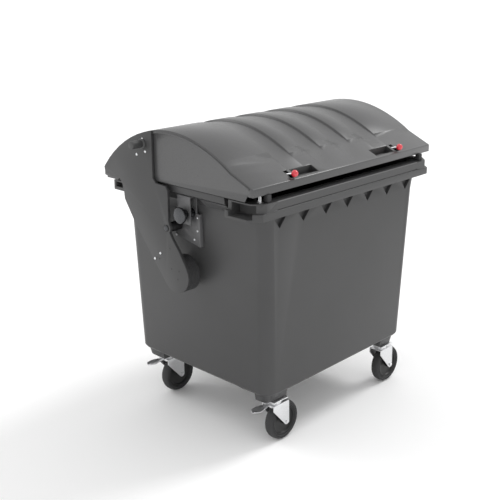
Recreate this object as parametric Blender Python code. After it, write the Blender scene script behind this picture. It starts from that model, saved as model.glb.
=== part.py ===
"""Four-wheeled waste container of about 1100 litres with a counterweighted dome lid.

Frame: X across the front (+X to the right of someone facing the front), -Y towards
that person, +Z up.  The origin is on the ground, under the middle of the container.
Every piece is its own closed solid; pieces that touch keep GAP between them.
"""
import math

import bmesh
import bpy
from mathutils import Matrix

# ---------------------------------------------------------------- driving dimensions
GAP = 0.0003
SIDES = (("left", -1), ("right", 1))

# tub: a tapered box with rounded corners, open at the top
TUB_HX_BASE = 0.545
TUB_Z_BASE = 0.280
TUB_SIDE_SLOPE = 0.04205
TUB_FRONT_Y = -0.4845
TUB_REAR_Y = 0.462
TUB_WALL = 0.006
TUB_CORNER_R = 0.062
CORNER_SEG = 8
FLOOR_Z = 0.243
BELLY_DROP = 0.0315

# round drain outlet near the front left corner of the floor
DRAIN_X = -0.430
DRAIN_Y = -0.235
DRAIN_R = 0.030

# rim: the stiff upper edge of the tub, in two strips with a groove between them
RIM_TOP_Z = 1.242
RIM_LOW_Z = 1.166
RIM_GROOVE_Z = 1.202
RIM_FRONT_Y = -0.518
RIM_HX = 0.648
RIM_INNER_HX = 0.576
RIM_INNER_FRONT_Y = -0.458

# triangular pockets under the front rim, where the teeth of a lifting comb centre
POCKET_COUNT = 7
POCKET_PITCH = 0.1625
POCKET_HALF_W = 0.0435
POCKET_TOP_Z = 1.158
POCKET_TIP_Z = 1.104
POCKET_DEPTH = 0.018

# handles: openings for the fingers at the front corners, pockets at the rear ones
HANDLE_HX = 0.682
HANDLE_TOP_HX = 0.659
HANDLE_CHAMFER = 0.050
HANDLE_REAR_Y = -0.335
FINGER_Y = (-0.484, -0.356)
FINGER_Z = (1.177, 1.235)
FINGER_IN_X = 0.604
REAR_HANDLE_Y = (0.384, 0.469)
REAR_HANDLE_Z = (1.147, 1.196)
REAR_FINGER_X = (0.612, 0.70)
REAR_FINGER_Y = (0.402, 0.454)
REAR_FINGER_Z = (1.164, 1.188)

# lid: a dome whose section is an arc, then a flatter arc in front, then a sloping strip
LID_ARC_Y = 0.021
LID_ARC_Z = 0.885
LID_R = 0.611
LID_HX = 0.672
LID_CHEEK_HX = 0.664
LID_WALL = 0.005
LID_EDGE_DEPTH = 0.016
LID_REAR_Y = 0.500
LID_REAR_Z = 1.205
LID_FLANGE_Y = 0.518
DOME_START_DEG = 39.6
LID_CHEEK_Z = 1.2465
CREASE_Y = -0.369
CREASE_Z = 1.3695
STRIP_EDGE_Y = -0.490
STRIP_EDGE_Z = 1.3145
LID_FRONT_Y = -0.497
LID_LIP_Z = 1.276
FRONT_ARC_DEG = 105.0
FRONT_ARC_R = 0.769
CHANNEL_X = (0.108, 0.327)
CHANNEL_HALF_W = 0.058
CHANNEL_DEPTH = 0.009
CHANNEL_END_DEG = 114.4
CHANNEL_FLANK = 0.004
DOME_STEPS = 20
FRONT_STEPS = 3
CREASE_STEPS = 4

# lid pivot and swing arms
PIVOT_Y = 0.050
PIVOT_Z = 1.037
ARM_IN_X = LID_CHEEK_HX + GAP
ARM_OUT_X = 0.680
ARM_FRONT_Y = 0.138
ARM_END_Y = -0.005
ARM_END_Z = 0.817
ARM_END_R = 0.088
ARM_BOSS_R = 0.026
BUSH_R = 0.016
PIVOT_R = 0.012
PEG_Y = 0.205
PEG_Z = 1.415
PEG_R = 0.019
PEG_END_X = 0.746

# counterweights and trunnions
WEIGHT_X = (0.602, 0.6635)
BRACKET_OUT_X = 0.598
STRAP_IN_X = 0.5963
STRAP_OUT_X = 0.642
STRAP_TOP_Z = 1.1995
STRAP_T = 0.006
BRACKET_FRONT_Y = -0.090
BRACKET_LOW_Z = 0.953
BRACKET_TOP_Z = 1.112
TRUNNION_Y = -0.040
TRUNNION_Z = 1.114
TRUNNION_R = 0.022
TRUNNION_FLANGE_R = 0.038
TRUNNION_END_X = 0.682

# hand grips and child-safety plungers in the front strip of the lid
GRIP_X = (0.222, 0.372)
GRIP_Y = (-0.483, -0.432)
GRIP_FLOOR_Z = 1.303
GRIP_WALL = 0.003
KNOB_X = 0.402
KNOB_Y = -0.492
KNOB_Z = 1.337
KNOB_R = 0.016
PLUNGER_R = 0.006
PLUNGER_TILT_DEG = 15.0
PLUNGER_END = -0.080
GUIDE_RANGE = (-0.072, -0.054)

# casters
CASTER_X = 0.4346
CASTER_FRONT_Y = -0.4157
CASTER_REAR_Y = 0.3354
TRAIL = 0.0504
WHEEL_R = 0.100
TYRE_HALF_W = 0.025
FORK_IN = 0.0335
FORK_OUT = 0.0375
CROWN_Z = (0.207, 0.211)
RACE_TOP_Z = 0.2295
PLATE_Z = (0.2298, 0.2348)
BLOCK_Z = 0.2351
FOOT_HX = 0.524
AXLE_R = 0.005
PEDAL_X = -0.030
PEDAL_Z = 0.190


# ---------------------------------------------------------------- scene and materials
for old in list(bpy.data.objects):
    bpy.data.objects.remove(old, do_unlink=True)


def linear(channel):
    """One sRGB channel, 0 to 1, as a linear value."""
    if channel <= 0.04045:
        return channel / 12.92
    return ((channel + 0.055) / 1.055) ** 2.4


def material(name, hex_colour, roughness, metallic=0.0):
    """A Principled material from an sRGB hex colour."""
    found = bpy.data.materials.new(name)
    found.use_nodes = True
    shader = found.node_tree.nodes["Principled BSDF"]
    channels = [int(hex_colour[i:i + 2], 16) / 255 for i in (0, 2, 4)]
    shader.inputs["Base Color"].default_value = [linear(c) for c in channels] + [1.0]
    shader.inputs["Roughness"].default_value = roughness
    shader.inputs["Metallic"].default_value = metallic
    return found


GREY_HDPE = material("grey_hdpe", "5E5F61", 0.5)
DOME_HDPE = material("dome_hdpe", "707173", 0.45)
ARM_HDPE = material("arm_plastic", "595A5C", 0.5)
BLACK_PLASTIC = material("black_plastic", "1D1D1E", 0.55)
RUBBER = material("rubber", "3A3A3B", 0.85)
ZINC = material("zinc_plated_steel", "C9CBCC", 0.3, 1.0)
CAST_IRON = material("painted_cast_iron", "343536", 0.6)
RED_PLASTIC = material("red_plastic", "D63A45", 0.25)


# ---------------------------------------------------------------- modelling functions
def along(axis, value, pair):
    """A point with one coordinate along the axis and the other two from the pair."""
    a, b = pair
    return {"x": (value, a, b), "y": (a, value, b), "z": (a, b, value)}[axis]


def circle(centre, radius, segments, start=0.0, sweep=2 * math.pi):
    """Points of an arc; a full circle doesn't repeat its first point."""
    last = segments if sweep >= 2 * math.pi else segments - 1
    angles = [start + sweep * i / last for i in range(segments)]
    return [(centre[0] + radius * math.cos(a), centre[1] + radius * math.sin(a))
            for a in angles]


def arc_deg(centre, radius, first, final, segments):
    """Points from one angle to another, in degrees, both ends included."""
    sweep = math.radians(final - first)
    return [(centre[0] + radius * math.cos(math.radians(first) + sweep * i / segments),
             centre[1] + radius * math.sin(math.radians(first) + sweep * i / segments))
            for i in range(segments + 1)]


def add_rings(bm, rings, loop=False):
    """Joins equal rings of points with quads; open ends are closed with flat faces."""
    layers = [[bm.verts.new(point) for point in ring] for ring in rings]
    count = len(layers[0])
    pairs = list(zip(layers, layers[1:]))
    if loop:
        pairs.append((layers[-1], layers[0]))
    for low, high in pairs:
        for i in range(count):
            j = (i + 1) % count
            bm.faces.new((low[i], low[j], high[j], high[i]))
    if not loop:
        bm.faces.new(layers[0])
        bm.faces.new(layers[-1])


def add_prism(bm, outline, axis, low, high):
    """A straight extrusion of an outline between two values on one axis."""
    add_rings(bm, [[along(axis, value, pair) for pair in outline]
                   for value in sorted((low, high))])


def add_box(bm, x_range, y_range, z_range):
    corners = [(x_range[0], y_range[0]), (x_range[1], y_range[0]),
               (x_range[1], y_range[1]), (x_range[0], y_range[1])]
    add_prism(bm, corners, "z", z_range[0], z_range[1])


def add_turned(bm, centre, axis, profile, segments, loop=False):
    """Turns (radius, distance along the axis) points about a line through centre."""
    index = "xyz".index(axis)
    flat = [centre[i] for i in range(3) if i != index]
    rings = [[along(axis, centre[index] + distance, pair)
              for pair in circle(flat, radius, segments)] for radius, distance in profile]
    add_rings(bm, rings, loop)


def side_range(side, low, high):
    """A range of X on the left (side -1) or the right (side 1)."""
    return tuple(sorted((side * low, side * high)))


def finish(name, bm, finish_material, parent=None, sharp_deg=35.0):
    """Makes the named object from the mesh, with its faces pointing out."""
    bmesh.ops.recalc_face_normals(bm, faces=bm.faces)
    mesh = bpy.data.meshes.new(name)
    bm.to_mesh(mesh)
    bm.free()
    mesh.materials.append(finish_material)
    mesh.shade_smooth()
    mesh.set_sharp_from_angle(angle=math.radians(sharp_deg))
    made = bpy.data.objects.new(name, mesh)
    bpy.context.scene.collection.objects.link(made)
    if parent:
        made.parent = parent
        made.matrix_parent_inverse = Matrix.Translation(-parent.location)
    return made


def joint_empty(name, location, parent=None):
    """An empty on a joint's axis; the pieces that move together are its children."""
    made = bpy.data.objects.new(name, None)
    bpy.context.scene.collection.objects.link(made)
    made.location = location
    if parent:
        made.parent = parent
        made.matrix_parent_inverse = Matrix.Translation(-parent.location)
    return made


def combine(target, name, bm, operation):
    """Adds an EXACT boolean of the target with a hidden helper solid."""
    helper = finish(name, bm, GREY_HDPE)
    helper.hide_render = True
    helper.display_type = "WIRE"
    modifier = target.modifiers.new(name, "BOOLEAN")
    modifier.operation = operation
    modifier.solver = "EXACT"
    modifier.object = helper


# ---------------------------------------------------------------- tub
def tub_hx(z):
    """Half width of the tub's outer side wall, which tapers towards the ground."""
    return TUB_HX_BASE + TUB_SIDE_SLOPE * (z - TUB_Z_BASE)


def tub_ring(hx, front_y, rear_y, z, radius=TUB_CORNER_R):
    """A level rounded rectangle, anticlockwise from the front right corner."""
    quarter = math.pi / 2
    corners = ((hx - radius, front_y + radius, -quarter), (hx - radius, rear_y - radius, 0),
               (radius - hx, rear_y - radius, quarter),
               (radius - hx, front_y + radius, 2 * quarter))
    points = []
    for x, y, start in corners:
        points += circle((x, y), radius, CORNER_SEG + 1, start, quarter)
    return [(x, y, z) for x, y in points]


def make_body_shell():
    outer = [
        tub_ring(0.460, -0.285, 0.205, FLOOR_Z, 0.05),
        tub_ring(0.490, -0.315, 0.235, FLOOR_Z + 0.005, 0.05),
        tub_ring(0.505, -0.335, 0.255, FLOOR_Z + 0.029, 0.05),
        tub_ring(0.515, -0.430, 0.410, FLOOR_Z + BELLY_DROP),
        tub_ring(0.537, -0.462, 0.436, TUB_Z_BASE),
        tub_ring(tub_hx(0.292), -0.470, 0.4445, 0.292),
        tub_ring(tub_hx(1.04), -0.4827, TUB_REAR_Y, 1.04),
        tub_ring(tub_hx(1.10), -0.4838, TUB_REAR_Y, 1.10),
        tub_ring(0.590, TUB_FRONT_Y, 0.458, 1.150),
        tub_ring(0.600, TUB_FRONT_Y, 0.455, RIM_LOW_Z),
        tub_ring(0.604, RIM_FRONT_Y, 0.455, RIM_LOW_Z + 0.0005),
        tub_ring(0.637, RIM_FRONT_Y, 0.448, RIM_GROOVE_Z - 0.002),
        tub_ring(0.634, RIM_FRONT_Y + 0.006, 0.444, RIM_GROOVE_Z),
        tub_ring(0.637, RIM_FRONT_Y + 0.006, 0.443, RIM_GROOVE_Z + 0.003),
        tub_ring(0.644, RIM_FRONT_Y + 0.0015, 0.441, RIM_GROOVE_Z + 0.005),
        tub_ring(RIM_HX, RIM_FRONT_Y + 0.0015, 0.432, RIM_TOP_Z - 0.003),
        tub_ring(RIM_HX - 0.003, RIM_FRONT_Y + 0.0045, 0.429, RIM_TOP_Z),
    ]
    inner = [
        tub_ring(RIM_INNER_HX, RIM_INNER_FRONT_Y, 0.410, RIM_TOP_Z),
        tub_ring(RIM_INNER_HX, RIM_INNER_FRONT_Y, 0.436, 1.166),
        tub_ring(0.5725, RIM_INNER_FRONT_Y, 0.451, 1.088),
        tub_ring(0.5715, -0.476, 0.454, 1.078),
        tub_ring(tub_hx(0.30) - TUB_WALL, -0.464, 0.4385, 0.300),
        tub_ring(0.530, -0.455, 0.430, 0.288),
        tub_ring(0.510, -0.425, 0.405, FLOOR_Z + BELLY_DROP + 0.007),
        tub_ring(0.499, -0.329, 0.249, FLOOR_Z + 0.036, 0.05),
        tub_ring(0.484, -0.309, 0.229, FLOOR_Z + 0.012, 0.05),
        tub_ring(0.460, -0.285, 0.205, FLOOR_Z + 0.007, 0.05),
    ]
    bm = bmesh.new()
    add_rings(bm, outer + inner)
    shell = finish("body_shell", bm, GREY_HDPE)

    # the rim's two strips run on past the wall as handle blocks at the front corners
    for name, hx, front, low, high in (
            ("handle_blocks", HANDLE_HX, RIM_FRONT_Y, RIM_LOW_Z, RIM_GROOVE_Z - 0.002),
            ("handle_rails", HANDLE_TOP_HX, RIM_FRONT_Y + 0.0015, RIM_GROOVE_Z - 0.003,
             RIM_TOP_Z)):
        outline = [(0.594, HANDLE_REAR_Y), (hx, HANDLE_REAR_Y),
                   (hx, front + HANDLE_CHAMFER), (hx - HANDLE_CHAMFER, front),
                   (0.540, front), (0.540, -0.470), (0.594, -0.440)]
        bm = bmesh.new()
        for _, side in SIDES:
            add_prism(bm, [(side * x, y) for x, y in outline], "z", low, high)
        combine(shell, name, bm, "UNION")

    bm = bmesh.new()
    for _, side in SIDES:
        add_box(bm, side_range(side, 0.592, RIM_HX), REAR_HANDLE_Y, REAR_HANDLE_Z)
    combine(shell, "rear_handles", bm, "UNION")

    # feet that carry the caster plates
    bm = bmesh.new()
    for _, side in SIDES:
        for y in (CASTER_FRONT_Y, CASTER_REAR_Y):
            row, end = (-1, 0.452) if y < 0 else (1, 0.428)
            rings = []
            for z, draw in ((BLOCK_Z, 0.008), (FLOOR_Z + 0.0355, 0.0)):
                hx, hy = FOOT_HX - draw, end - draw
                outline = [(CASTER_X - 0.052, row * hy), (CASTER_X - 0.052, y - row * 0.050),
                           (hx, y - row * 0.050)]
                outline += arc_deg((hx - 0.05, row * (hy - 0.05)), 0.05, 0.0, row * 90.0, 5)
                rings.append([(side * px, py, z) for px, py in outline])
            add_rings(bm, rings)
    combine(shell, "caster_feet", bm, "UNION")

    bm = bmesh.new()
    first = -POCKET_PITCH * (POCKET_COUNT - 1) / 2
    for i in range(POCKET_COUNT):
        x = first + POCKET_PITCH * i
        outline = [(x - POCKET_HALF_W, POCKET_TOP_Z), (x, POCKET_TIP_Z),
                   (x + POCKET_HALF_W, POCKET_TOP_Z)]
        add_prism(bm, outline, "y", TUB_FRONT_Y - 0.02, TUB_FRONT_Y + POCKET_DEPTH)
    for _, side in SIDES:
        add_box(bm, side_range(side, FINGER_IN_X, 0.70), FINGER_Y, FINGER_Z)
        add_box(bm, side_range(side, 0.622, 0.70), (-0.330, -0.300), (1.192, 1.30))
        add_box(bm, side_range(side, STRAP_IN_X - GAP, 0.70), (-0.131, 0.250), (1.060, 1.200))
        add_box(bm, side_range(side, *REAR_FINGER_X), REAR_FINGER_Y, REAR_FINGER_Z)
    add_prism(bm, circle((DRAIN_X, DRAIN_Y), DRAIN_R + GAP, 20), "z", 0.20, 0.30)
    combine(shell, "rim_and_floor_cuts", bm, "DIFFERENCE")
    return shell


def make_drain_plug():
    bm = bmesh.new()
    reach = DRAIN_R - 2 * GAP
    profile = [(0.034, -0.015), (0.041, -0.012), (0.041, -GAP), (reach, -GAP),
               (reach, 0.012), (0.027, 0.015)]
    add_turned(bm, (DRAIN_X, DRAIN_Y, FLOOR_Z), "z", profile, 20)
    hinge = joint_empty("drain_plug_joint", (DRAIN_X, DRAIN_Y, FLOOR_Z))
    plug = finish("drain_plug", bm, BLACK_PLASTIC, hinge)
    bm = bmesh.new()
    low = FLOOR_Z - 0.016
    add_box(bm, (DRAIN_X - 0.026, DRAIN_X - 0.005), (DRAIN_Y - 0.03, DRAIN_Y + 0.03),
            (low, low + 0.010))
    add_box(bm, (DRAIN_X + 0.005, DRAIN_X + 0.026), (DRAIN_Y - 0.03, DRAIN_Y + 0.03),
            (low, low + 0.010))
    combine(plug, "plug_grip_pockets", bm, "DIFFERENCE")


# ---------------------------------------------------------------- trunnion brackets
def make_bracket(label, side):
    """A thick moulded plate on the side wall, with a strap up to the rim."""
    bm = bmesh.new()
    wall = [(tub_hx(z) + GAP, z) for z in (BRACKET_LOW_Z, 1.098)]
    outline = [(BRACKET_OUT_X, BRACKET_LOW_Z), wall[0], wall[1], (0.5830, BRACKET_TOP_Z),
               (BRACKET_OUT_X, BRACKET_TOP_Z)]
    add_prism(bm, [(side * x, z) for x, z in outline], "y", BRACKET_FRONT_Y, 0.085)
    bracket = finish("trunnion_bracket_" + label, bm, ARM_HDPE)
    bm = bmesh.new()
    back, front = STRAP_IN_X + 0.0042, STRAP_OUT_X - STRAP_T
    strap = [(STRAP_IN_X, 1.05), (STRAP_IN_X, STRAP_TOP_Z), (STRAP_OUT_X, STRAP_TOP_Z),
             (STRAP_OUT_X, 1.066), (front, 1.066), (front, STRAP_TOP_Z - STRAP_T),
             (back, STRAP_TOP_Z - STRAP_T), (back, 1.05)]
    add_prism(bm, [(side * x, z) for x, z in strap], "y", -0.074, 0.012)
    combine(bracket, "strap_" + label, bm, "UNION")
    bm = bmesh.new()
    slope = [(BRACKET_FRONT_Y - 0.01, BRACKET_LOW_Z - 0.01), (BRACKET_FRONT_Y - 0.01, 0.951),
             (0.070, 0.985), (0.090, 0.985), (0.090, BRACKET_LOW_Z - 0.01)]
    add_prism(bm, slope, "x", side * 0.56, side * 0.62)
    for radius, y, z in ((TRUNNION_R, TRUNNION_Y, TRUNNION_Z), (PIVOT_R, PIVOT_Y, PIVOT_Z)):
        add_prism(bm, circle((y, z), radius + GAP, 20), "x", side * 0.590, side * 0.70)
    combine(bracket, "bracket_cuts_" + label, bm, "DIFFERENCE")


def make_trunnion_pin(label, side):
    bm = bmesh.new()
    profile = [(TRUNNION_R, 0.5905), (TRUNNION_R, 0.667), (TRUNNION_FLANGE_R, 0.668),
               (TRUNNION_FLANGE_R, TRUNNION_END_X - 0.002),
               (TRUNNION_FLANGE_R - 0.002, TRUNNION_END_X)]
    add_turned(bm, (0, TRUNNION_Y, TRUNNION_Z), "x",
               [(r, side * x) for r, x in profile], 20)
    finish("trunnion_pin_" + label, bm, ZINC)


def make_pivot_pin(label, side):
    bm = bmesh.new()
    profile = [(PIVOT_R, 0.5905), (PIVOT_R, BRACKET_OUT_X + GAP),
               (0.023, BRACKET_OUT_X + GAP + 0.0002), (0.023, ARM_IN_X - 0.0015),
               (PIVOT_R, ARM_IN_X - 0.0013), (PIVOT_R, ARM_OUT_X + 0.0005)]
    add_turned(bm, (0, PIVOT_Y, PIVOT_Z), "x", [(r, side * x) for r, x in profile], 20)
    finish("pivot_pin_" + label, bm, BLACK_PLASTIC)


def add_bolt_head(bm, side, x, y, z, radius, height):
    """A low domed head standing outwards from a side face."""
    profile = [(radius, 0), (radius, 0.55 * height), (0.55 * radius, height)]
    add_turned(bm, (side * x, y, z), "x", [(r, side * d) for r, d in profile], 10)


def make_pivot_bolt(label, side):
    """The domed bolt on the end of the pivot pin that keeps the arm on it."""
    bm = bmesh.new()
    add_bolt_head(bm, side, ARM_OUT_X + 0.0008, PIVOT_Y, PIVOT_Z, 0.014, 0.006)
    finish("pivot_bolt_" + label, bm, ZINC)


# ---------------------------------------------------------------- lid
def strip_z(y):
    """Height of the front strip's upper face."""
    share = (y - CREASE_Y) / (STRIP_EDGE_Y - CREASE_Y)
    return CREASE_Z + share * (STRIP_EDGE_Z - CREASE_Z)


def dome_path(drop, first=DOME_START_DEG):
    """The dome's two arcs, lowered by drop: as far as the channels' end, and on to the crease."""
    centre = (LID_ARC_Y, LID_ARC_Z)
    points = arc_deg(centre, LID_R - drop, first, FRONT_ARC_DEG, DOME_STEPS)
    turn = math.radians(FRONT_ARC_DEG)
    shift = LID_R - FRONT_ARC_R
    front = (LID_ARC_Y + shift * math.cos(turn), LID_ARC_Z + shift * math.sin(turn))
    radius = FRONT_ARC_R - drop
    points += arc_deg(front, radius, FRONT_ARC_DEG, CHANNEL_END_DEG, FRONT_STEPS)[1:]
    last = math.degrees(math.atan2(CREASE_Z - front[1], CREASE_Y - front[0]))
    return points, arc_deg(front, radius, CHANNEL_END_DEG, last, CREASE_STEPS)[1:]


def dome_line(in_channel, wall):
    """The dome's outline: raised, or a channel that runs out onto the strip."""
    points, end = dome_path(wall + (CHANNEL_DEPTH if in_channel else 0.0))
    if in_channel:
        first, last = points[-1], (CREASE_Y, CREASE_Z - wall)
        end = []
        for i in range(1, CREASE_STEPS + 1):
            share = i / CREASE_STEPS
            end.append((first[0] + share * (last[0] - first[0]),
                        first[1] + share * (last[1] - first[1])))
    return points + end


def lid_section(in_channel):
    """The lid's outer outline at one place across its width, rear edge first."""
    points = [(LID_REAR_Y, LID_REAR_Z), (LID_REAR_Y, 1.213), (LID_FLANGE_Y, 1.216),
              (LID_FLANGE_Y, 1.232), (LID_REAR_Y, 1.236), (LID_REAR_Y, 1.262)]
    points += dome_line(in_channel, 0.0)
    points += [(STRIP_EDGE_Y, STRIP_EDGE_Z), (LID_FRONT_Y + 0.0015, STRIP_EDGE_Z - 0.003),
               (LID_FRONT_Y, STRIP_EDGE_Z - 0.008), (LID_FRONT_Y, LID_LIP_Z),
               (-0.455, LID_LIP_Z), (-0.438, LID_CHEEK_Z), (0.360, LID_CHEEK_Z),
               (0.420, LID_REAR_Z)]
    return points


def hollow_section(in_channel):
    """The outline of the space under the lid's wall."""
    points = [(LID_REAR_Y - LID_WALL, 1.15), (LID_REAR_Y - LID_WALL, 1.255)]
    points += dome_line(in_channel, LID_WALL)
    points += [(STRIP_EDGE_Y + 0.002, STRIP_EDGE_Z - 0.0065),
               (LID_FRONT_Y + LID_WALL, STRIP_EDGE_Z - 0.010), (LID_FRONT_Y + LID_WALL, 1.15)]
    return points


def across_lid(hx, extra):
    """Places across the lid, and whether each is in a channel, widened by extra."""
    stations = [(-hx, False)]
    half = CHANNEL_HALF_W + extra
    for x in sorted([-c for c in CHANNEL_X] + list(CHANNEL_X)):
        stations += [(x - half, False), (x - half + CHANNEL_FLANK, True),
                     (x + half - CHANNEL_FLANK, True), (x + half, False)]
    return stations + [(hx, False)]


def make_lid_shell(hinge):
    bm = bmesh.new()
    add_rings(bm, [[(x, y, z) for y, z in lid_section(low)]
                   for x, low in across_lid(LID_HX, 0.0)])
    lid = finish("lid_shell", bm, DOME_HDPE, hinge)

    bm = bmesh.new()
    add_rings(bm, [[(x, y, z) for y, z in hollow_section(low)]
                   for x, low in across_lid(LID_CHEEK_HX - LID_WALL, 0.5 * LID_WALL)])
    combine(lid, "lid_hollow", bm, "DIFFERENCE")

    # end walls set back under the edge of the dome, and flush behind the arms
    shallow = LID_R - LID_EDGE_DEPTH
    top = math.degrees(math.acos((ARM_FRONT_Y - LID_ARC_Y) / shallow))
    recess = sum(dome_path(LID_EDGE_DEPTH, top), [])
    recess += [(-0.470, 1.300), (-0.470, 1.287), (-0.440, 1.20), (ARM_FRONT_Y, 1.20)]
    behind = [(ARM_FRONT_Y - 0.001, 1.15), (0.60, 1.15), (0.60, 1.60),
              (ARM_FRONT_Y - 0.001, 1.60)]
    bm = bmesh.new()
    for _, side in SIDES:
        add_prism(bm, recess, "x", side * LID_CHEEK_HX, side * 0.70)
    combine(lid, "cheek_recesses", bm, "DIFFERENCE")
    bm = bmesh.new()
    for _, side in SIDES:
        add_prism(bm, behind, "x", side * LID_CHEEK_HX, side * 0.71)
    combine(lid, "arm_seats", bm, "DIFFERENCE")

    # holes in the front strip for the grip cups and the plungers
    bm = bmesh.new()
    for _, side in SIDES:
        add_box(bm, side_range(side, *GRIP_X), GRIP_Y, (1.295, 1.36))
        add_box(bm, side_range(side, KNOB_X - 0.012, KNOB_X + 0.012), (-0.484, -0.430),
                (1.295, 1.36))
    combine(lid, "strip_holes", bm, "DIFFERENCE")


def arm_outline():
    """Outline of the swing arm in the YZ plane, from the front foot of its upper part."""
    centre = (LID_ARC_Y, LID_ARC_Z)
    radius = LID_R - 0.001
    front = math.degrees(math.acos((ARM_FRONT_Y - LID_ARC_Y) / radius))
    points = [(ARM_FRONT_Y, 1.262)]
    points += arc_deg(centre, radius, front, DOME_START_DEG, 8)
    points += [(LID_REAR_Y, 1.262), (LID_REAR_Y - 0.006, 1.232), (0.445, 1.222),
               (0.385, 1.222), (0.366, 1.203), (0.354, 1.160), (0.350, 1.125),
               (0.284, 1.027), (0.208, 0.933)]
    points += arc_deg((ARM_END_Y, ARM_END_Z), ARM_END_R, -40.0, -213.0, 10)
    points += [(-0.028, 0.943), (0.012, 0.990)]
    points += arc_deg((PIVOT_Y, PIVOT_Z), ARM_BOSS_R, 225.0, 135.0, 4)
    points += [(0.037, 1.075), (0.037, 1.215), (0.050, 1.236), (ARM_FRONT_Y - 0.02, 1.240)]
    return points


def make_arm(label, side, hinge):
    bm = bmesh.new()
    add_prism(bm, arm_outline(), "x", side * ARM_IN_X, side * ARM_OUT_X)
    arm = finish("lid_arm_" + label, bm, ARM_HDPE, hinge)
    bm = bmesh.new()
    add_prism(bm, circle((PIVOT_Y, PIVOT_Z), BUSH_R + GAP, 20), "x", side * 0.65, side * 0.70)
    combine(arm, "arm_bore_" + label, bm, "DIFFERENCE")


def make_bush(label, side, hinge):
    bm = bmesh.new()
    inside = PIVOT_R + GAP
    profile = [(inside, ARM_IN_X), (BUSH_R, ARM_IN_X), (BUSH_R, ARM_OUT_X), (inside, ARM_OUT_X)]
    add_turned(bm, (0, PIVOT_Y, PIVOT_Z), "x", [(r, side * x) for r, x in profile], 20, True)
    finish("pivot_bush_" + label, bm, BLACK_PLASTIC, hinge)


def make_counterweight(label, side, hinge):
    """A stack of round plates, told apart by shallow grooves."""
    bm = bmesh.new()
    low, high = WEIGHT_X
    full = ARM_END_R - 0.001
    step = (high - low) / 3
    profile = [(full - 0.003, low), (full, low + 0.003)]
    for i in (1, 2):
        groove = low + step * i
        profile += [(full, groove - 0.002), (full - 0.003, groove), (full, groove + 0.002)]
    profile += [(full, high)]
    add_turned(bm, (0, ARM_END_Y, ARM_END_Z), "x", [(r, side * x) for r, x in profile], 28)
    finish("counterweight_" + label, bm, CAST_IRON, hinge)


def make_peg(label, side, hinge):
    """The stub that a lifting vehicle's arm takes to open the lid."""
    bm = bmesh.new()
    profile = [(0.026, ARM_OUT_X + GAP), (0.026, ARM_OUT_X + 0.006), (PEG_R, ARM_OUT_X + 0.008),
               (PEG_R, PEG_END_X - 0.002), (PEG_R - 0.002, PEG_END_X)]
    add_turned(bm, (0, PEG_Y, PEG_Z), "x", [(r, side * x) for r, x in profile], 20)
    finish("opening_peg_" + label, bm, ARM_HDPE, hinge)


# ---------------------------------------------------------------- grips and plungers
def make_grip_cup(label, side, hinge):
    """An open cup let into the front strip, for the fingers that lift the lid."""
    front = GRIP_Y[0] + GAP
    rear = GRIP_Y[1] - GAP
    bm = bmesh.new()
    outline = [(front, GRIP_FLOOR_Z), (rear, GRIP_FLOOR_Z), (rear, strip_z(rear)),
               (front, strip_z(front))]
    add_prism(bm, outline, "x", side * (GRIP_X[0] + GAP), side * (GRIP_X[1] - GAP))
    cup = finish("grip_cup_" + label, bm, BLACK_PLASTIC, hinge)
    bm = bmesh.new()
    add_box(bm, side_range(side, GRIP_X[0] + GRIP_WALL, GRIP_X[1] - GRIP_WALL),
            (GRIP_Y[0] + GRIP_WALL, GRIP_Y[1] - GRIP_WALL), (GRIP_FLOOR_Z + GRIP_WALL, 1.38))
    combine(cup, "cup_hollow_" + label, bm, "DIFFERENCE")


def plunger_frame(side):
    """Places a shape turned about Z on the plunger's own tilted axis, knob at +Z."""
    tilt = math.radians(90 - PLUNGER_TILT_DEG)
    return Matrix.Translation((side * KNOB_X, KNOB_Y, KNOB_Z)) @ Matrix.Rotation(tilt, 4, "X")


def make_plunger(label, side, hinge):
    slide = joint_empty("plunger_joint_" + label, (side * KNOB_X, KNOB_Y, KNOB_Z), hinge)
    frame = plunger_frame(side)
    neck = -math.sqrt(KNOB_R ** 2 - PLUNGER_R ** 2) - GAP
    bm = bmesh.new()
    add_turned(bm, (0, 0, 0), "z",
               [(PLUNGER_R, PLUNGER_END), (PLUNGER_R, neck - 0.0005)], 12)
    bm.transform(frame)
    finish("latch_plunger_" + label, bm, ZINC, slide)
    bm = bmesh.new()
    steps = 8
    flat = math.acos((-neck - GAP) / KNOB_R)
    angles = [math.pi - flat - (math.pi - flat - 0.15) * i / steps for i in range(steps + 1)]
    add_turned(bm, (0, 0, 0), "z",
               [(KNOB_R * math.sin(a), KNOB_R * math.cos(a)) for a in angles], 16)
    bm.transform(frame)
    finish("latch_knob_" + label, bm, RED_PLASTIC, slide)


def make_plunger_guide(label, side, hinge):
    """A ring under the strip that carries the plunger."""
    bm = bmesh.new()
    inside = PLUNGER_R + GAP
    outer = 0.010
    low, high = GUIDE_RANGE
    profile = [(inside, low), (outer, low), (outer, high), (inside, high)]
    add_turned(bm, (0, 0, 0), "z", profile, 12, True)
    bm.transform(plunger_frame(side))
    finish("latch_guide_" + label, bm, BLACK_PLASTIC, hinge)


def make_keeper(label, side):
    """A small bent plate on the rim's front corner that the lid's catch meets."""
    bm = bmesh.new()
    low = RIM_TOP_Z + GAP
    outline = [(0.598, low), (0.622, low), (0.622, low + 0.003), (0.6155, low + 0.003),
               (0.6155, 1.270), (0.622, 1.270), (0.622, 1.273), (0.6125, 1.273),
               (0.6125, low + 0.003), (0.598, low + 0.003)]
    add_prism(bm, [(side * x, z) for x, z in outline], "y", -0.488, -0.472)
    finish("latch_keeper_" + label, bm, ZINC)


def make_rest_pad(label, side):
    """The rubber block on the rim that the closed lid's front edge rests on."""
    bm = bmesh.new()
    add_box(bm, side_range(side, 0.568, 0.594), (-0.506, -0.482),
            (RIM_TOP_Z + GAP, LID_LIP_Z - GAP))
    finish("lid_rest_pad_" + label, bm, RUBBER)


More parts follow.
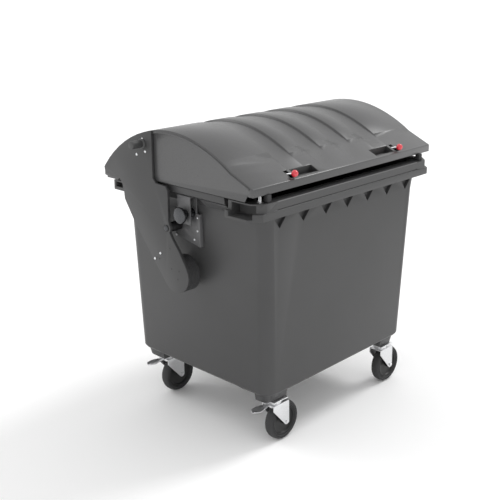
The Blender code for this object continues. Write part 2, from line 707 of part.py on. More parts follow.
# ---------------------------------------------------------------- casters
def make_caster_plate(label, x, y):
    bm = bmesh.new()
    add_box(bm, (x - 0.050, x + 0.050), (y - 0.043, y + 0.043), PLATE_Z)
    plate = finish("caster_plate_" + label, bm, ZINC)
    bm = bmesh.new()
    add_prism(bm, circle((x, y), 0.012 + GAP, 16), "z", 0.22, 0.24)
    combine(plate, "king_hole_" + label, bm, "DIFFERENCE")


def fork_outline():
    """Side view of a fork leg about the swivel axis, with its trailing axle eye."""
    points = [(-0.046, CROWN_Z[1]), (-0.046, 0.184), (0.037, 0.090)]
    points += arc_deg((TRAIL, 0.100), 0.0165, 217.0, 360.0, 6)
    return points + [(0.064, CROWN_Z[1])]


def make_fork(label, x, y, swivel):
    bm = bmesh.new()
    section = [(-FORK_OUT, 0.08), (-FORK_IN, 0.08), (-FORK_IN, CROWN_Z[0]),
               (FORK_IN, CROWN_Z[0]), (FORK_IN, 0.08), (FORK_OUT, 0.08),
               (FORK_OUT, CROWN_Z[1]), (-FORK_OUT, CROWN_Z[1])]
    add_prism(bm, [(y + dy, z) for dy, z in section], "x", x - 0.06, x + 0.08)
    fork = finish("caster_fork_" + label, bm, ZINC, swivel)
    bm = bmesh.new()
    add_prism(bm, [(x + dx, z) for dx, z in fork_outline()], "y", y - 0.05, y + 0.05)
    combine(fork, "fork_outline_" + label, bm, "INTERSECT")
    bm = bmesh.new()
    profile = [(0.030, CROWN_Z[0] + 0.001), (0.034, CROWN_Z[1] + 0.003), (0.034, 0.222),
               (0.028, RACE_TOP_Z), (0.012, RACE_TOP_Z + 0.0001), (0.012, PLATE_Z[1] - 0.001)]
    add_turned(bm, (x, y, 0), "z", profile, 20)
    combine(fork, "fork_race_" + label, bm, "UNION")
    bm = bmesh.new()
    add_prism(bm, circle((x + TRAIL, 0.100), AXLE_R + GAP, 12), "y", y - 0.05, y + 0.05)
    combine(fork, "axle_bore_" + label, bm, "DIFFERENCE")


def make_axle(label, x, y, swivel):
    """Axle bolt with a head on one side and a nut on the other."""
    bm = bmesh.new()
    head = FORK_OUT + GAP
    profile = [(0.009, -head - 0.006), (0.009, -head), (AXLE_R, -head + 0.0001),
               (AXLE_R, head - 0.0001), (0.009, head), (0.009, head + 0.006)]
    add_turned(bm, (x + TRAIL, y, 0.100), "y", profile, 12)
    finish("axle_bolt_" + label, bm, ZINC, swivel)


def make_wheel(label, x, y, spin):
    centre = (x + TRAIL, y, 0.100)
    bore = AXLE_R + GAP
    bm = bmesh.new()
    hub = [(bore, -0.029), (0.016, -0.029), (0.018, -0.010), (0.066, -0.008), (0.070, -0.019),
           (0.0745, -0.019), (0.0745, 0.019), (0.070, 0.019), (0.066, 0.008), (0.018, 0.010),
           (0.016, 0.029), (bore, 0.029)]
    add_turned(bm, centre, "y", hub, 20, True)
    finish("wheel_hub_" + label, bm, BLACK_PLASTIC, spin)
    bm = bmesh.new()
    half = TYRE_HALF_W
    inside = 0.0745 + GAP + 0.0006
    tyre = [(inside, -0.021), (0.080, -half), (0.090, -half), (0.0975, -0.017), (WHEEL_R, -0.006),
            (WHEEL_R, 0.006), (0.0975, 0.017), (0.090, half), (0.080, half), (inside, 0.021)]
    add_turned(bm, centre, "y", tyre, 28, True)
    finish("wheel_tyre_" + label, bm, RUBBER, spin)


def make_pedal(label, x, y, swivel):
    """Brake pedal between the fork legs, with a nose that turns towards the tyre."""
    hinge = joint_empty("pedal_joint_" + label, (x + PEDAL_X, y, PEDAL_Z), swivel)
    outline = arc_deg((PEDAL_X, PEDAL_Z), 0.007, 150.0, 300.0, 5)
    outline += [(PEDAL_X + 0.010, PEDAL_Z - 0.008), (PEDAL_X + 0.007, PEDAL_Z + 0.004),
                (PEDAL_X, PEDAL_Z + 0.012), (-0.060, 0.2075), (-0.140, 0.2015),
                (-0.153, 0.194), (-0.151, 0.191), (-0.139, 0.1975), (-0.060, 0.2035)]
    bm = bmesh.new()
    add_prism(bm, [(x + dx, z) for dx, z in outline], "y", y - 0.019, y + 0.019)
    finish("brake_pedal_" + label, bm, ZINC, hinge)


def make_caster(label, x, y, with_brake):
    make_caster_plate(label, x, y)
    swivel = joint_empty("swivel_joint_" + label, (x, y, CROWN_Z[1]))
    make_fork(label, x, y, swivel)
    make_axle(label, x, y, swivel)
    spin = joint_empty("wheel_joint_" + label, (x + TRAIL, y, 0.100), swivel)
    make_wheel(label, x, y, spin)
    if with_brake:
        make_pedal(label, x, y, swivel)


# ---------------------------------------------------------------- assembly
make_body_shell()
make_drain_plug()
lid_hinge = joint_empty("lid_joint", (0, PIVOT_Y, PIVOT_Z))
make_lid_shell(lid_hinge)
for label, side in SIDES:
    make_bracket(label, side)
    make_trunnion_pin(label, side)
    make_pivot_pin(label, side)
    make_pivot_bolt(label, side)
    make_keeper(label, side)
    make_rest_pad(label, side)
    make_arm(label, side, lid_hinge)
    make_bush(label, side, lid_hinge)
    make_counterweight(label, side, lid_hinge)
    make_peg(label, side, lid_hinge)
    make_grip_cup(label, side, lid_hinge)
    make_plunger(label, side, lid_hinge)
    make_plunger_guide(label, side, lid_hinge)
for row, y in (("front", CASTER_FRONT_Y), ("rear", CASTER_REAR_Y)):
    for label, side in SIDES:
        make_caster(row + "_" + label, side * CASTER_X, y, side < 0)
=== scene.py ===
"""How the large wheeled waste container with the counterweighted dome lid looks.

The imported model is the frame.  The sections below follow the container as it is put
together: tub, side brackets, lid, arms, grips and catches, casters.
"""
import math

import bmesh
import bpy
from mathutils import Matrix, Vector


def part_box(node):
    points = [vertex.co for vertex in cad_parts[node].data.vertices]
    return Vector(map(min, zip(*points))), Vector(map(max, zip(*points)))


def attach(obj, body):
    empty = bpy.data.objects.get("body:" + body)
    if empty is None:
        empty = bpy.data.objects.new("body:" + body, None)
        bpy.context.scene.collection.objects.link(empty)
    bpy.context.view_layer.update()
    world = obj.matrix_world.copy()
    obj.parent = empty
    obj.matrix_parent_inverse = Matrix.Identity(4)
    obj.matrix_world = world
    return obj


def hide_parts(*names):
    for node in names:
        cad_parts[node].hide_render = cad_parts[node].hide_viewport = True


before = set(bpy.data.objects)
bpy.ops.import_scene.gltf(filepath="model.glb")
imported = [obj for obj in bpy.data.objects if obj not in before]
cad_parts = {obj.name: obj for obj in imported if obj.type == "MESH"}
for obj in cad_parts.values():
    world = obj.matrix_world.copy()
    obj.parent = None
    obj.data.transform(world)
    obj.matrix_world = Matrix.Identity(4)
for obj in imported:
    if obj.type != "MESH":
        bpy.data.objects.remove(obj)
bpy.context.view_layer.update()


# ================================================================ tub
# The tub is one large injection moulding in dark grey HDPE, with the rim, the handles
# and the comb pockets moulded on.  The skin is satin, with a fine spark-eroded grain.
def linear(shade):
    """An sRGB hex colour as linear red, green, blue and alpha."""
    channels = []
    for i in (0, 2, 4):
        c = int(shade[i:i + 2], 16) / 255
        channels.append(c / 12.92 if c <= 0.04045 else ((c + 0.055) / 1.055) ** 2.4)
    return channels + [1.0]


def add_node(tree, kind, sockets=None, **settings):
    """Adds a node with its settings; a socket is given a value or another node's output."""
    made = tree.nodes.new(kind)
    for name, value in settings.items():
        setattr(made, name, value)
    for name, value in (sockets or {}).items():
        if isinstance(value, bpy.types.NodeSocket):
            tree.links.new(value, made.inputs[name])
        else:
            made.inputs[name].default_value = value
    return made


def moulded_plastic(name, shade, pale, roughness, grain_mm, depth_mm):
    """HDPE or nylon from a grained mould: flow drifts in the colour, grain in the gloss."""
    material = bpy.data.materials.new(name)
    material.use_nodes = True
    tree = material.node_tree
    shader = tree.nodes["Principled BSDF"]
    place = add_node(tree, "ShaderNodeTexCoord").outputs["Object"]
    # slow drifts of shade, about a hand's width across, where the melt flowed
    drift = add_node(tree, "ShaderNodeTexNoise",
                     {"Vector": place, "Scale": 1 / 0.18, "Detail": 3.0})
    mixed = add_node(tree, "ShaderNodeMix",
                     {"Factor": drift.outputs["Fac"], 6: linear(shade), 7: linear(pale)},
                     data_type="RGBA")
    tree.links.new(mixed.outputs[2], shader.inputs["Base Color"])
    # the real grain is 0.3 mm and too fine to show, so it is drawn coarser
    grain = add_node(tree, "ShaderNodeTexNoise",
                     {"Vector": place, "Scale": 1000 / grain_mm, "Detail": 2.0})
    gloss = add_node(tree, "ShaderNodeMapRange",
                     {"Value": grain.outputs["Fac"], "To Min": roughness - 0.05,
                      "To Max": roughness + 0.05})
    tree.links.new(gloss.outputs["Result"], shader.inputs["Roughness"])
    bump = add_node(tree, "ShaderNodeBump",
                    {"Height": grain.outputs["Fac"], "Strength": 0.25,
                     "Distance": depth_mm / 1000})
    tree.links.new(bump.outputs["Normal"], shader.inputs["Normal"])
    shader.inputs["IOR"].default_value = 1.54
    return material


def only(piece):
    """Selects this piece alone and makes it active."""
    bpy.ops.object.select_all(action="DESELECT")
    piece.select_set(True)
    bpy.context.view_layer.objects.active = piece


smooth_below = math.radians(33)  # sharper edges than this stay crisp
merge_within = 0.00002


def worked_copy(node, edge_mm):
    """A copy of a CAD solid: triangles joined into faces, wide enough edges rounded."""
    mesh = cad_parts[node].data.copy()
    piece = bpy.data.objects.new(node + "_finished", mesh)
    bpy.context.scene.collection.objects.link(piece)
    only(piece)
    bpy.ops.object.mode_set(mode="EDIT")
    bpy.ops.mesh.select_all(action="SELECT")
    bpy.ops.mesh.remove_doubles(threshold=merge_within)
    bpy.ops.mesh.dissolve_limited(angle_limit=math.radians(0.8))
    bpy.ops.object.mode_set(mode="OBJECT")
    width = edge_mm / 1000
    shape = bmesh.new()
    shape.from_mesh(mesh)
    weight = shape.edges.layers.float.new("bevel_weight_edge")
    for edge in shape.edges:
        if len(edge.link_faces) == 2 and edge.calc_face_angle(0) > math.radians(32):
            room = min(face.calc_area() / max(e.calc_length() for e in face.edges)
                       for face in edge.link_faces)
            if room > 2.2 * width and edge.calc_length() > 2.2 * width:
                edge[weight] = 1.0
    shape.to_mesh(mesh)
    shape.free()
    rounding = piece.modifiers.new("rounded_edges", "BEVEL")
    rounding.limit_method = "WEIGHT"
    rounding.width = width
    rounding.segments = 2
    rounding.use_clamp_overlap = False
    only(piece)
    bpy.ops.object.modifier_apply(modifier=rounding.name)
    bpy.ops.object.shade_smooth_by_angle(angle=smooth_below)
    return piece


def fit(piece, body, slot, material, *nodes):
    """Gives a finished piece its material and its body, and hides the nodes it stands for; slot
    is not used.
    """
    piece.data.materials.clear()
    piece.data.materials.append(material)
    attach(piece, body)
    if nodes:
        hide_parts(*nodes)


tub_plastic = moulded_plastic("dark_grey_hdpe_moulded", "383838", "3C3C3D", 0.46, 3.0, 0.25)
tub = worked_copy("body_shell", 2.0)
fit(tub, "container", "grey_hdpe", tub_plastic, "body_shell")


# ================================================================ drain plug
# A quarter-turn plug of black nylon under the floor, with two pockets for the fingers.
# It comes out of a smooth mould, so it is darker and a little glossier than the tub.
black_nylon = moulded_plastic("black_nylon_moulded", "0E0E0F", "141415", 0.46, 2.0, 0.1)
drain_plug = worked_copy("drain_plug", 1.0)
fit(drain_plug, "drain_plug_body", "black_plastic", black_nylon, "drain_plug")


# ================================================================ side brackets and pins
# On each side wall a ribbed moulded plate with a strap up to the rim carries a turned
# steel trunnion for the lifter and the lid's pivot pin.  Its screws are zinc plated.
SIDES = (("left", -1), ("right", 1))


def spun(name, outline, axis, centre, steps=64):
    """Spins a closed outline of (radius, distance along the axis) points round a line."""
    index = "xyz".index(axis)
    across = [Vector((0, 1, 0)), Vector((0, 0, 1)), Vector((1, 0, 0))][index]
    along = Vector([float(i == index) for i in range(3)])
    points = [Vector(centre) + across * r + along * d for r, d in outline]
    count = len(points)
    mesh = bpy.data.meshes.new(name)
    mesh.from_pydata(points, [(i, (i + 1) % count) for i in range(count)], [])
    piece = bpy.data.objects.new(name, mesh)
    bpy.context.scene.collection.objects.link(piece)
    only(piece)
    bpy.ops.object.mode_set(mode="EDIT")
    bpy.ops.mesh.select_all(action="SELECT")
    bpy.ops.mesh.spin(steps=steps, angle=2 * math.pi, center=centre, axis=along)
    bpy.ops.mesh.select_all(action="SELECT")
    bpy.ops.mesh.remove_doubles(threshold=merge_within)
    bpy.ops.mesh.normals_make_consistent(inside=False)
    bpy.ops.object.mode_set(mode="OBJECT")
    bpy.ops.object.shade_smooth_by_angle(angle=smooth_below)
    return piece


def across(node):
    """A round node's centre on the YZ plane, its inner and outer ends in X, its radius."""
    low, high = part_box(node)
    inner, outer = sorted((abs(low.x), abs(high.x)))
    return (0.0, (low.y + high.y) / 2, (low.z + high.z) / 2), inner, outer, (high.z - low.z) / 2


def plated_metal(name, shade, pale, roughness, spangle_mm):
    """Bright plating or bare steel: patches of slightly different shade and polish."""
    material = bpy.data.materials.new(name)
    material.use_nodes = True
    tree = material.node_tree
    shader = tree.nodes["Principled BSDF"]
    shader.inputs["Metallic"].default_value = 1.0
    place = add_node(tree, "ShaderNodeTexCoord").outputs["Object"]
    patches = add_node(tree, "ShaderNodeTexVoronoi",
                       {"Vector": place, "Scale": 1000 / spangle_mm})
    mixed = add_node(tree, "ShaderNodeMix",
                     {"Factor": patches.outputs["Distance"], 6: linear(shade),
                      7: linear(pale)}, data_type="RGBA")
    tree.links.new(mixed.outputs[2], shader.inputs["Base Color"])
    rub = add_node(tree, "ShaderNodeTexNoise",
                   {"Vector": place, "Scale": 1 / 0.012, "Detail": 4.0})
    gloss = add_node(tree, "ShaderNodeMapRange",
                     {"Value": rub.outputs["Fac"], "To Min": roughness - 0.06,
                      "To Max": roughness + 0.06})
    tree.links.new(gloss.outputs["Result"], shader.inputs["Roughness"])
    return material


def ribbed_plastic(name, shade, roughness, rib_mm):
    """HDPE plate with fine upright ribs across Y, as on a stiffened insert."""
    material = moulded_plastic(name, shade, shade, roughness, 3.0, 0.2)
    tree = material.node_tree
    place = add_node(tree, "ShaderNodeTexCoord").outputs["Object"]
    # the wave runs through 20 radians in one unit at scale 1, and a rib is one full turn
    ribs = add_node(tree, "ShaderNodeTexWave",
                    {"Vector": place, "Scale": math.tau / 20 * 1000 / rib_mm},
                    bands_direction="Y", wave_profile="SIN")
    first = next(n for n in tree.nodes if n.bl_idname == "ShaderNodeBump")
    bump = add_node(tree, "ShaderNodeBump",
                    {"Height": ribs.outputs["Fac"], "Normal": first.outputs["Normal"],
                     "Strength": 0.5, "Distance": 0.0006})
    tree.links.new(bump.outputs["Normal"], tree.nodes["Principled BSDF"].inputs["Normal"])
    return material


def screw_heads(name, places, side, face_x, radius, height):
    """Domed heads on a side face, joined into one piece."""
    dome = [(0.0, 0.0), (radius, 0.0), (radius, 0.25 * height)]
    dome += [(radius * math.cos(a), height * (0.25 + 0.75 * math.sin(a)))
             for a in (0.35, 0.7, 1.05, 1.3)]
    dome += [(0.0, height)]
    head = spun(name, [(r, side * d) for r, d in dome], "x", (0.0, 0.0, 0.0), 20)
    heads = []
    for y, z in places:
        copy = bpy.data.objects.new(name, head.data.copy())
        copy.data.transform(Matrix.Translation((side * face_x, y, z)))
        bpy.context.scene.collection.objects.link(copy)
        heads.append(copy)
    bpy.data.objects.remove(head, do_unlink=True)
    only(heads[0])
    for copy in heads[1:]:
        copy.select_set(True)
    if len(heads) > 1:
        bpy.ops.object.join()
    heads[0].name = name
    return heads[0]


bracket_plastic = ribbed_plastic("ribbed_grey_hdpe", "5A5A5B", 0.42, 7.0)
bright_zinc = plated_metal("bright_zinc_plate", "DCDDDF", "EFEFF0", 0.36, 4.0)
turned_steel = plated_metal("turned_steel", "4A4B4D", "58595B", 0.28, 3.0)

plate_face = 0.5982  # where the bracket's screws sit, in X
for label, side in SIDES:
    bracket = worked_copy("trunnion_bracket_" + label, 1.5)
    fit(bracket, "container", "arm_plastic", bracket_plastic, "trunnion_bracket_" + label)

    bolts = screw_heads("bracket_screws_" + label,
                        [(-0.074, 1.094), (-0.074, 1.030), (0.070, 0.985), (-0.052, 0.984)],
                        side, plate_face, 0.0055, 0.003)
    fit(bolts, "container", "zinc_steel", bright_zinc)

    centre, inner, outer, flange = across("trunnion_pin_" + label)
    shank = 0.022
    outline = [(0.0, inner), (shank - 0.001, inner), (shank, inner + 0.001),
               (shank, outer - 0.017), (shank + 0.002, outer - 0.015),
               (flange - 0.001, outer - 0.0145), (flange, outer - 0.0135),
               (flange, outer - 0.004), (flange - 0.0012, outer - 0.0015),
               (flange - 0.004, outer), (0.0, outer)]
    pin = spun("trunnion_pin_" + label + "_finished", [(r, side * d) for r, d in outline],
               "x", centre)
    fit(pin, "container", "zinc_steel", turned_steel, "trunnion_pin_" + label)

    pivot = worked_copy("pivot_pin_" + label, 0.5)
    fit(pivot, "container", "black_plastic", black_nylon, "pivot_pin_" + label)

    centre, inner, outer, radius = across("pivot_bolt_" + label)
    skirt, crown = 0.0012, 0.0045
    dome = [(0.0, inner), (radius - 0.0002, inner), (radius, inner + skirt)]
    dome += [(radius * math.cos(a), inner + skirt + crown * math.sin(a))
             for a in (0.3, 0.6, 0.9, 1.2)]
    dome += [(0.0, inner + skirt + crown)]
    bolt = spun("pivot_bolt_" + label + "_finished", [(r, side * d) for r, d in dome],
                "x", centre, 40)
    fit(bolt, "container", "zinc_steel", turned_steel, "pivot_bolt_" + label)


# ================================================================ dome lid
# The lid is a second large moulding, a dome with four shallow channels that run out
# onto its flat front strip; its grey is painted lighter than the tub's, as painted light for
# the bright top of the dome.  A bead stiffens the skin under its end edges.
# painted light: this grey is set lighter than the tub's so that the dome's top looks lit
lid_plastic_with_painted_top_light = moulded_plastic("grey_hdpe_painted_top_light", "444444", "4A4A4B", 0.29, 3.0, 0.25)
lid = worked_copy("lid_shell", 1.6)
fit(lid, "lid", "dome_hdpe", lid_plastic_with_painted_top_light, "lid_shell")


def swept_bead(name, points, radius):
    """A round bead laid along a line of points."""
    bpy.ops.object.select_all(action="DESELECT")
    bpy.ops.curve.primitive_nurbs_path_add()
    path = bpy.context.active_object
    path.name = name
    path.data.splines.clear()
    line = path.data.splines.new("POLY")
    line.points.add(len(points) - 1)
    for spot, place in zip(line.points, points):
        spot.co = (*place, 1.0)
    path.data.bevel_depth = radius
    path.data.bevel_resolution = 3
    path.data.use_fill_caps = True
    bpy.ops.object.convert(target="MESH")
    bpy.ops.object.transform_apply(location=True, rotation=True, scale=True)
    bpy.ops.object.shade_smooth_by_angle(angle=smooth_below)
    return bpy.context.active_object


# the dome's section is one arc, then a flatter one that meets it at front_from degrees
dome_y, dome_z, dome_r = 0.021, 0.885, 0.611
front_r, front_from, front_to = 0.769, 105.0, 124.0
bead_from = 80.0
bead_x, bead_r = 0.6728, 0.004
under = 0.0135  # the bead's middle, below the dome's skin
turn = math.radians(front_from)
front_y = dome_y + (dome_r - front_r) * math.cos(turn)
front_z = dome_z + (dome_r - front_r) * math.sin(turn)
line = []
for i in range(13):
    a = math.radians(bead_from + (front_from - bead_from) * i / 12)
    line.append((dome_y + (dome_r - under) * math.cos(a),
                 dome_z + (dome_r - under) * math.sin(a)))
for i in range(1, 11):
    a = math.radians(front_from + (front_to - front_from) * i / 10)
    line.append((front_y + (front_r - under) * math.cos(a),
                 front_z + (front_r - under) * math.sin(a)))
line.append((-0.474, 1.310))
for label, side in SIDES:
    bead = swept_bead("edge_bead_" + label, [(side * bead_x, y, z) for y, z in line], bead_r)
    fit(bead, "lid", "dome_hdpe", lid_plastic_with_painted_top_light)


# ================================================================ swing arms
# Each arm is a thick moulded plate bolted to the lid's end wall, and turns on a nylon
# bush.  Domed zinc screws hold it, and a thick stub near its top takes the lifter's arm.
arm_plastic = moulded_plastic("grey_hdpe_plate", "383838", "3C3C3D", 0.44, 3.0, 0.25)
for label, side in SIDES:
    arm = worked_copy("lid_arm_" + label, 1.6)
    fit(arm, "lid", "arm_plastic", arm_plastic, "lid_arm_" + label)
    face = across("lid_arm_" + label)[2] + 0.0003
    screws = screw_heads("arm_screws_" + label,
                         [(0.200, 1.437), (0.182, 1.381), (0.244, 1.359),
                          (0.097, 0.904), (0.138, 0.869)], side, face, 0.0065, 0.0045)
    fit(screws, "lid", "zinc_steel", bright_zinc)
    # these flat black discs are painted shade, standing in for five small holes in the arm's
    # face
    hole_shade_discs = screw_heads("arm_hole_shade_discs_" + label,
                        [(0.030, 0.941), (0.106, 0.874), (0.022, 0.842), (-0.020, 0.800),
                         (-0.030, 0.842)], side, face, 0.0036, 0.0008)
    fit(hole_shade_discs, "lid", "black_plastic", black_nylon)
    bush = worked_copy("pivot_bush_" + label, 0.4)
    fit(bush, "lid", "black_plastic", black_nylon, "pivot_bush_" + label)

    centre, inner, outer, collar = across("opening_peg_" + label)
    stub = 0.019
    outline = [(0.0, inner), (collar, inner), (collar, inner + 0.003),
               (collar - 0.0025, inner + 0.006), (stub, inner + 0.0085),
               (stub, outer - 0.0025), (stub - 0.0008, outer - 0.0008),
               (stub - 0.0025, outer), (0.0, outer)]
    peg = spun("opening_peg_" + label + "_finished", [(r, side * d) for r, d in outline],
               "x", centre, 48)
    fit(peg, "lid", "arm_plastic", arm_plastic, "opening_peg_" + label)


# ================================================================ counterweights
# Inside each arm's lower end is a stack of round iron plates in dark paint.  The joints
# between the plates show as thin lines round the stack.
def painted_iron(name, shade, pale, roughness):
    """Cast iron under a coat of matt paint, which takes the metal's mottling but no shine."""
    material = plated_metal(name, shade, pale, roughness, 9.0)
    material.node_tree.nodes["Principled BSDF"].inputs["Metallic"].default_value = 0.0
    return material


iron_paint = painted_iron("dark_painted_iron", "2E2E2F", "363637", 0.5)
plates = 6
for label, side in SIDES:
    centre, inner, outer, radius = across("counterweight_" + label)
    pitch = (outer - inner) / plates
    outline = [(0.0, inner)]
    for i in range(plates):
        near, far = inner + pitch * i, inner + pitch * (i + 1)
        outline += [(radius - 0.0016, near), (radius - 0.0005, near + 0.0007),
                    (radius, near + 0.0018), (radius, far - 0.0018),
                    (radius - 0.0005, far - 0.0007), (radius - 0.0016, far)]
    outline += [(0.0, outer)]
    weight = spun("counterweight_" + label + "_finished",
                  [(r, side * d) for r, d in outline], "x", centre, 72)
    fit(weight, "lid", "cast_iron", iron_paint, "counterweight_" + label)


# ================================================================ grips and catches
# Two black cups are let into the front strip for the hands.  Beside each, a red ball on
# a zinc plunger pulls the child catch, which meets a bent keeper on the rim's corner.
def gloss_plastic(name, shade, roughness):
    """Compression-moulded ball: hard gloss, with the faint ripple of its mould."""
    material = moulded_plastic(name, shade, shade, roughness, 6.0, 0.05)
    shader = material.node_tree.nodes["Principled BSDF"]
    shader.inputs["Coat Weight"].default_value = 0.6
    shader.inputs["Coat Roughness"].default_value = 0.08
    return material


red_gloss = gloss_plastic("red_phenolic_ball", "D6313F", 0.22)
plunger_tilt = math.radians(15)
inwards = Vector((0, math.cos(plunger_tilt), -math.sin(plunger_tilt)))
for label, side in SIDES:
    cup = worked_copy("grip_cup_" + label, 0.6)
    fit(cup, "lid", "black_plastic", black_nylon, "grip_cup_" + label)
    guide = worked_copy("latch_guide_" + label, 0.5)
    fit(guide, "lid", "black_plastic", black_nylon, "latch_guide_" + label)
    plunger = worked_copy("latch_plunger_" + label, 0.4)
    fit(plunger, "plunger_" + label, "zinc_steel", bright_zinc, "latch_plunger_" + label)
    low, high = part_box("latch_knob_" + label)
    middle = (low + high) / 2
    radius = (high.x - low.x) / 2
    bpy.ops.object.select_all(action="DESELECT")
    bpy.ops.mesh.primitive_uv_sphere_add(segments=48, ring_count=24, radius=radius,
                                         location=middle)
    knob = bpy.context.active_object
    knob.name = "latch_knob_" + label + "_finished"
    bpy.ops.object.mode_set(mode="EDIT")
    bpy.ops.mesh.select_all(action="SELECT")
    # the flat where the ball is screwed onto the plunger
    bpy.ops.mesh.bisect(plane_co=middle + inwards * radius * 0.92, plane_no=inwards,
                        use_fill=True, clear_outer=True)
    bpy.ops.object.mode_set(mode="OBJECT")
    bpy.ops.object.transform_apply(location=True, rotation=True, scale=True)
    bpy.ops.object.shade_smooth_by_angle(angle=smooth_below)
    fit(knob, "plunger_" + label, "red_plastic", red_gloss, "latch_knob_" + label)
    keeper = worked_copy("latch_keeper_" + label, 0.5)
    fit(keeper, "container", "zinc_steel", bright_zinc, "latch_keeper_" + label)


# ================================================================ rest pads
# The closed lid rests on a small rubber block at each front corner of the rim.
# Rubber is matt, and its mould leaves it slightly uneven.
pad_rubber = moulded_plastic("black_rubber", "262627", "2C2C2D", 0.75, 2.0, 0.2)
for label, side in SIDES:
    pad = worked_copy("lid_rest_pad_" + label, 1.5)
    fit(pad, "container", "rubber", pad_rubber, "lid_rest_pad_" + label)


# ================================================================ casters
# Four 200 mm swivel casters: pressed and zinc plated steel, a black nylon wheel centre
# and a solid grey rubber tyre.  The two on the left have a brake pedal.
# solid rubber is matt, with a slight bloom and scuffs a finger's width across
grey_rubber = moulded_plastic("solid_tyre_rubber", "2A2A2B", "353536", 0.72, 4.0, 0.3)
corners = ("front_left", "front_right", "rear_left", "rear_right")
for corner in corners:
    plate = worked_copy("caster_plate_" + corner, 0.8)
    fit(plate, "container", "zinc_steel", bright_zinc, "caster_plate_" + corner)
    fork = worked_copy("caster_fork_" + corner, 0.7)
    fit(fork, "swivel_" + corner, "zinc_steel", bright_zinc, "caster_fork_" + corner)
    axle = worked_copy("axle_bolt_" + corner, 0.6)
    fit(axle, "swivel_" + corner, "zinc_steel", bright_zinc, "axle_bolt_" + corner)

    low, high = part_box("wheel_tyre_" + corner)
    centre = (low + high) / 2
    outer = (high.z - low.z) / 2
    half = (high.y - low.y) / 2
    tread = [(outer - 0.0245, 0.021), (outer - 0.0225, half - 0.0022),
             (outer - 0.0205, half), (outer - 0.0185, half), (outer - 0.0170, half - 0.0024),
             (outer - 0.0145, half - 0.0024), (outer - 0.0130, half),
             (outer - 0.0110, half), (outer - 0.0100, half - 0.0018),
             (outer - 0.0080, half - 0.0020), (outer - 0.005, half - 0.005),
             (outer - 0.002, half - 0.011), (outer - 0.0005, half - 0.018), (outer, 0.003)]
    outline = tread + [(r, -d) for r, d in reversed(tread)]
    tyre = spun("wheel_tyre_" + corner + "_finished", outline, "y", centre, 96)
    fit(tyre, "wheel_" + corner, "tyre", grey_rubber, "wheel_tyre_" + corner)

    bore, rim = 0.0056, outer - 0.0257
    face = [(bore, 0.029), (0.0155, 0.029), (0.017, 0.0275), (0.0185, 0.012),
            (0.030, 0.0095), (0.058, 0.0085), (0.064, 0.011), (0.0675, 0.0185),
            (0.070, 0.0195), (rim - 0.0012, 0.0195), (rim, 0.018)]
    outline = face + [(r, -d) for r, d in reversed(face)]
    hub = spun("wheel_hub_" + corner + "_finished", outline, "y", centre, 72)
    fit(hub, "wheel_" + corner, "black_plastic", black_nylon, "wheel_hub_" + corner)

# four nuts under each plate, their places measured from its middle
nut_out_x, nut_out_y, nut_top = 0.041, 0.033, 0.2296
for corner in corners:
    low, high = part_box("caster_plate_" + corner)
    middle = (low + high) / 2
    nut = [(0.0, 0.0), (0.0062, 0.0), (0.0072, -0.0012), (0.0072, -0.0040), (0.0062, -0.0048),
           (0.0, -0.0048)]
    nuts = []
    for dx in (-nut_out_x, nut_out_x):
        for dy in (-nut_out_y, nut_out_y):
            nuts.append(spun("plate_nut", nut, "z",
                             (middle.x + dx, middle.y + dy, nut_top), 6))
    only(nuts[0])
    for other in nuts[1:]:
        other.select_set(True)
    bpy.ops.object.join()
    nuts[0].name = "plate_nuts_" + corner
    fit(nuts[0], "container", "zinc_steel", bright_zinc)

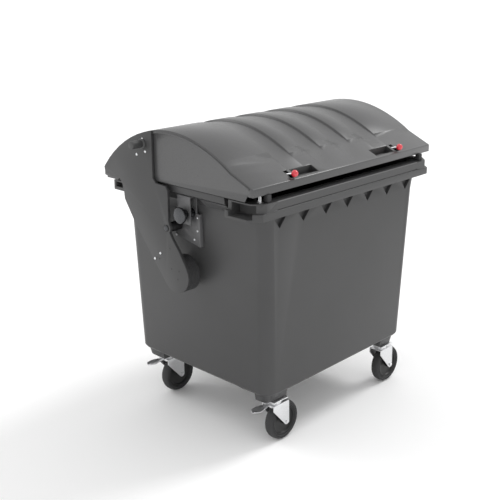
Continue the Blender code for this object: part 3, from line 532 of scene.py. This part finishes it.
# a pedal is a pressed leaf that widens from its neck, dished, with its tip turned up
neck_half, widening = 0.0125, 0.0135
barrel_z = 0.199
neck_z, arch, fall, dish_depth, tip_lift = 0.2085, 0.004, 0.006, 0.0065, 0.007
for corner in ("front_left", "rear_left"):
    low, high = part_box("brake_pedal_" + corner)
    middle = (low + high) / 2
    neck_x, tip_x = high.x - 0.012, low.x
    bpy.ops.object.select_all(action="DESELECT")
    bpy.ops.mesh.primitive_grid_add(x_subdivisions=18, y_subdivisions=10, size=1,
                                    location=(0, 0, 0))
    pedal = bpy.context.active_object
    pedal.name = "brake_pedal_" + corner + "_finished"
    for vert in pedal.data.vertices:
        u, v = 0.5 - vert.co.x, 2 * vert.co.y
        spread = min(1.0, max(0.0, (u - 0.2) / 0.55))
        half = neck_half + widening * math.sin(spread * math.pi / 2)
        half *= math.sqrt(max(0.0, 1 - max(0.0, (u - 0.72) / 0.30) ** 2)) or 0.05
        spine = neck_z + arch * math.sin(u * math.pi) - fall * u
        dish = dish_depth * v * v * min(1.0, u * 1.6)
        lift = tip_lift * max(0.0, u - 0.75) / 0.25
        vert.co = (neck_x + (tip_x - neck_x) * u, middle.y + half * v, spine + dish + lift)
    only(pedal)
    leaf = pedal.modifiers.new("sheet", "SOLIDIFY")
    leaf.thickness = 0.0022
    leaf.offset = 0.0
    bpy.ops.object.modifier_apply(modifier=leaf.name)
    edge = pedal.modifiers.new("rolled_edge", "BEVEL")
    edge.limit_method = "ANGLE"
    edge.angle_limit = math.radians(50)
    edge.width = 0.0006
    edge.segments = 2
    bpy.ops.object.modifier_apply(modifier=edge.name)
    bpy.ops.object.shade_smooth_by_angle(angle=smooth_below)
    barrel = spun("pedal_barrel", [(0.0052, -0.0185), (0.0072, -0.0185), (0.0076, -0.0175),
                                   (0.0076, 0.0175), (0.0072, 0.0185), (0.0052, 0.0185)],
                  "y", (high.x - 0.010, middle.y, barrel_z), 32)
    only(pedal)
    barrel.select_set(True)
    bpy.ops.object.join()
    fit(pedal, "pedal_" + corner, "zinc_steel", bright_zinc, "brake_pedal_" + corner)


# ================================================================ floor, light and camera
# A plain pale floor that runs out of view, a large soft light from the upper left, one
# from the right for the gloss on the lid, and a bright plain surround.
bpy.ops.object.select_all(action="DESELECT")
bpy.ops.mesh.primitive_plane_add(size=300, location=(0, 0, 0))
floor = bpy.context.active_object
floor.name = "studio_floor"
pale = bpy.data.materials.new("matt_white_floor")
pale.use_nodes = True
pale.node_tree.nodes["Principled BSDF"].inputs["Base Color"].default_value = linear("FFFFFF")
pale.node_tree.nodes["Principled BSDF"].inputs["Roughness"].default_value = 0.9
floor.data.materials.append(pale)


def soft_light(name, direction, strength, spread):
    """A distant lamp as wide as a soft box; spread is its width in degrees."""
    lamp = bpy.data.lights.new(name, "SUN")
    lamp.energy = strength
    lamp.angle = math.radians(spread)
    made = bpy.data.objects.new(name, lamp)
    made.location = Vector(direction) * 4
    made.rotation_euler = Vector(direction).to_track_quat("Z", "Y").to_euler()
    bpy.context.scene.collection.objects.link(made)


soft_light("top_box", (0.66, -0.16, 0.73), 1.15, 18)
soft_light("back_box", (-0.35, 0.70, 0.62), 0.35, 24)
world = bpy.data.worlds.new("bright_surround")
world.use_nodes = True
world.node_tree.nodes["Background"].inputs["Color"].default_value = (1, 1, 1, 1)
world.node_tree.nodes["Background"].inputs["Strength"].default_value = 0.9
bpy.context.scene.world = world
bpy.context.scene.view_settings.view_transform = "Standard"

camera_data = bpy.data.cameras.new("camera")
camera_data.lens = 62.65
camera = bpy.data.objects.new("camera", camera_data)
camera.location = (-3.237, -2.9005, 2.1996)
aim = Vector((-0.079, 0.082, 0.780)) - camera.location
camera.rotation_euler = aim.to_track_quat("-Z", "Y").to_euler()
bpy.context.scene.collection.objects.link(camera)
bpy.context.scene.camera = camera
